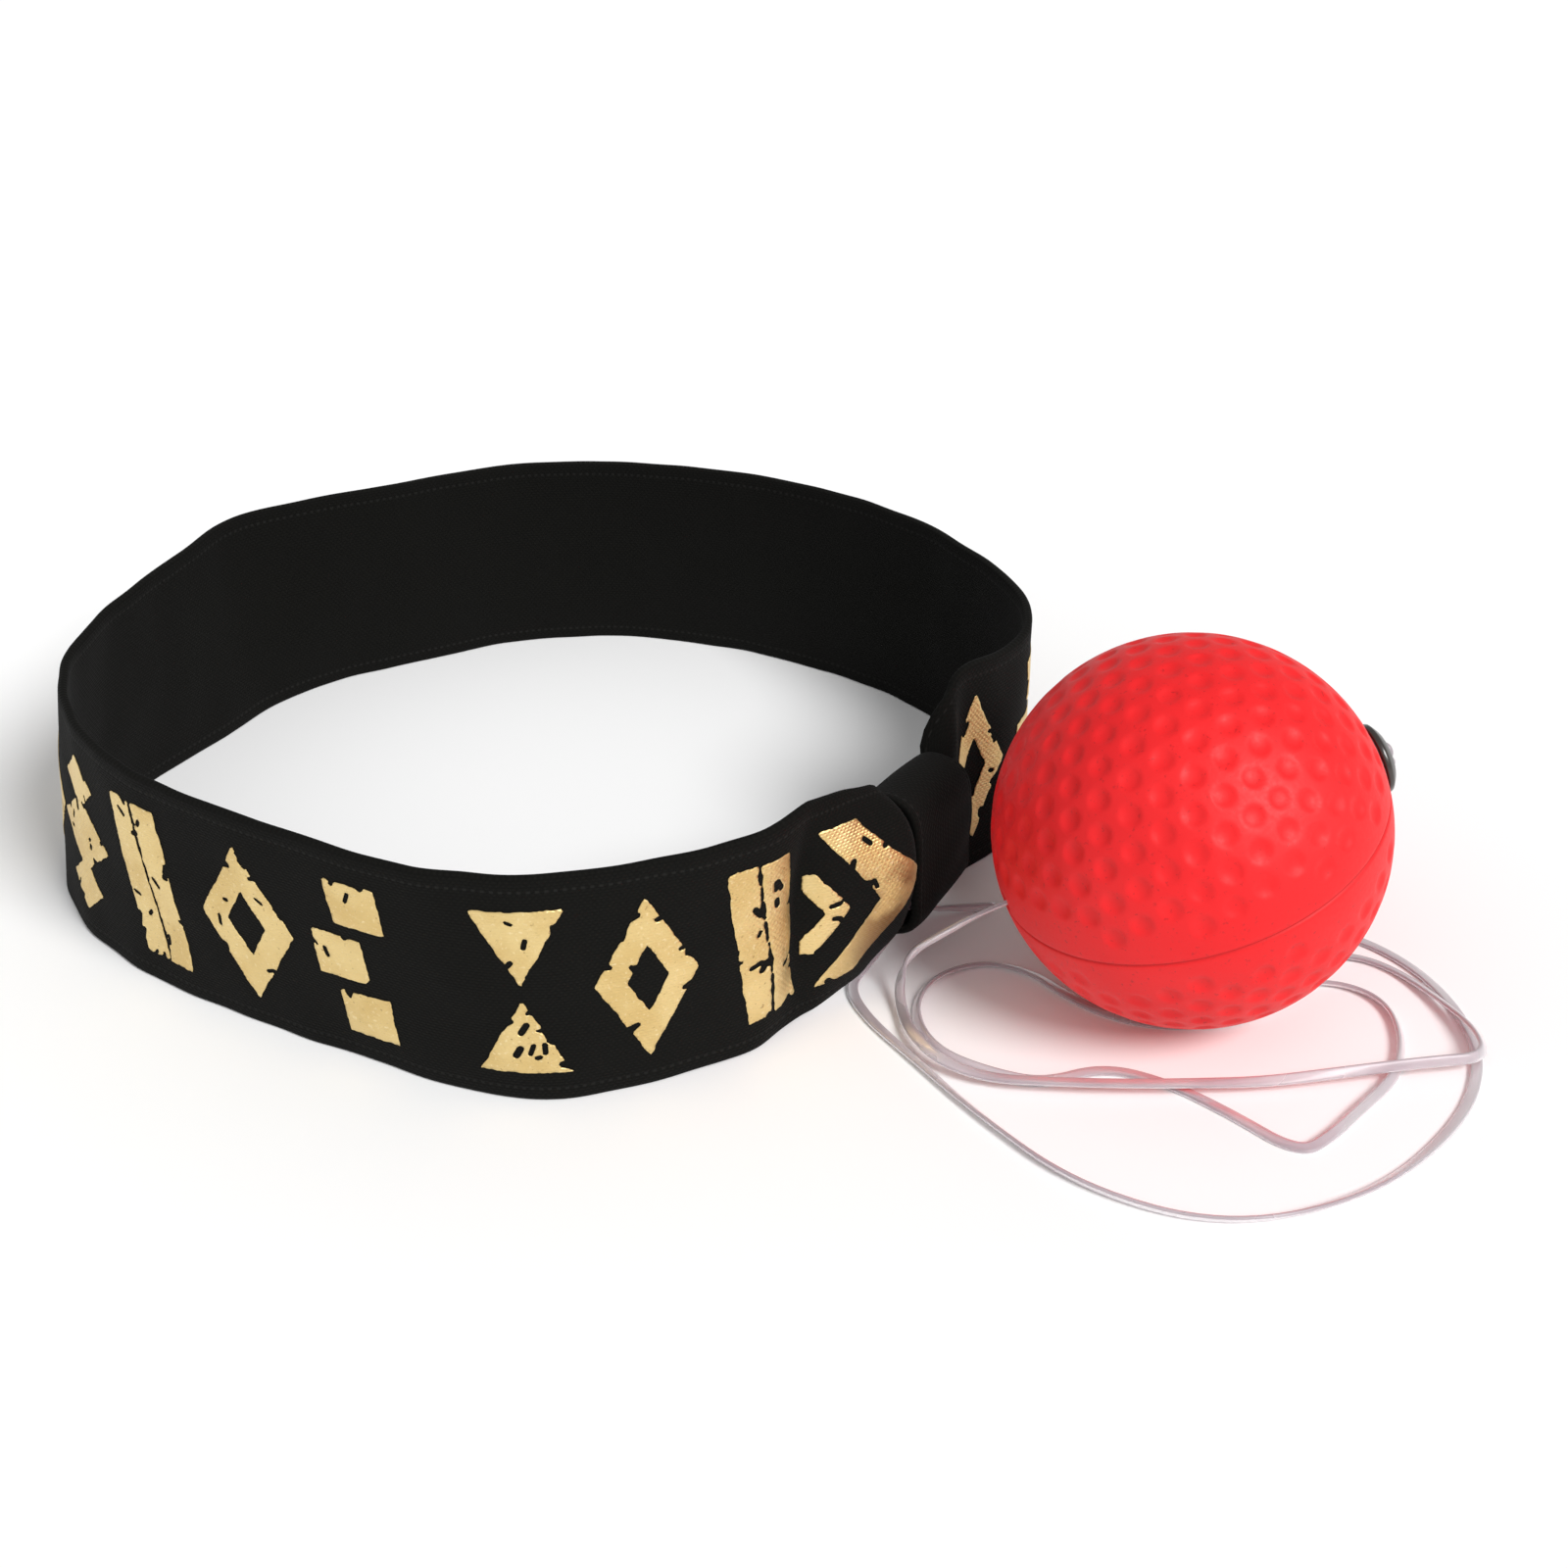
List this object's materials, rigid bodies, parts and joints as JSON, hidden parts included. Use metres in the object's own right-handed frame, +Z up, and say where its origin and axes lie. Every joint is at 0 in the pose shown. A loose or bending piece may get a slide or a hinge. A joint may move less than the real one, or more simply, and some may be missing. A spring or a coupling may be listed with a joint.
{
  "type": "reflex ball headband",
  "caption": "Elastic webbing headband loop whose pinched ends are held by a wrap, with a dimpled foam ball on a flat clear elastic cord that is knotted behind a domed stopper.",
  "frame": {"origin": "on the surface it stands on, under the middle of the box round the strap and ball", "axes": "+X from the strap's plain side towards the ball's side, +Y away from the ball's front, +Z up across the strap's width"},
  "size_m": [0.2295, 0.1773, 0.061],
  "materials": {
    "webbing": "matte",
    "wrap_webbing": "matte",
    "foil": "satin",
    "thread": "matte",
    "clear_elastic": "gloss",
    "ball_foam": "matte",
    "stopper_plastic": "gloss"
  },
  "bodies": {
    "headband": {"headband_strap": "webbing", "foil_print": "foil", "lap_seam_stitches": "thread", "knot_wrap": "wrap_webbing", "wrap_seam_stitches": "thread", "cord_waist_loop": "clear_elastic", "cord_anchor_knot": "clear_elastic", "cord_free_run": "clear_elastic", "cord_tail": "clear_elastic"},
    "ball": {"foam_ball": "ball_foam"},
    "cord_end": {"cord_in_ball": "clear_elastic", "cord_end_knot": "clear_elastic"},
    "stopper": {"stopper_disc": "stopper_plastic"}
  },
  "joints": [
    {"name": "ball_spin", "type": "hinge", "parent": "headband", "child": "ball", "pos_m": [0.076, -0.0455, 0.0305], "axis": [0.9326, 0.1937, 0.3045], "continuous": true},
    {"name": "cord_pull", "type": "slide", "parent": "ball", "child": "cord_end", "axis": [0.9326, 0.1937, 0.3045], "range_m": [0, 0.008]},
    {"name": "stopper_spin", "type": "hinge", "parent": "cord_end", "child": "stopper", "pos_m": [0.076, -0.0455, 0.0305], "axis": [0.9326, 0.1937, 0.3045], "continuous": true}
  ]
}
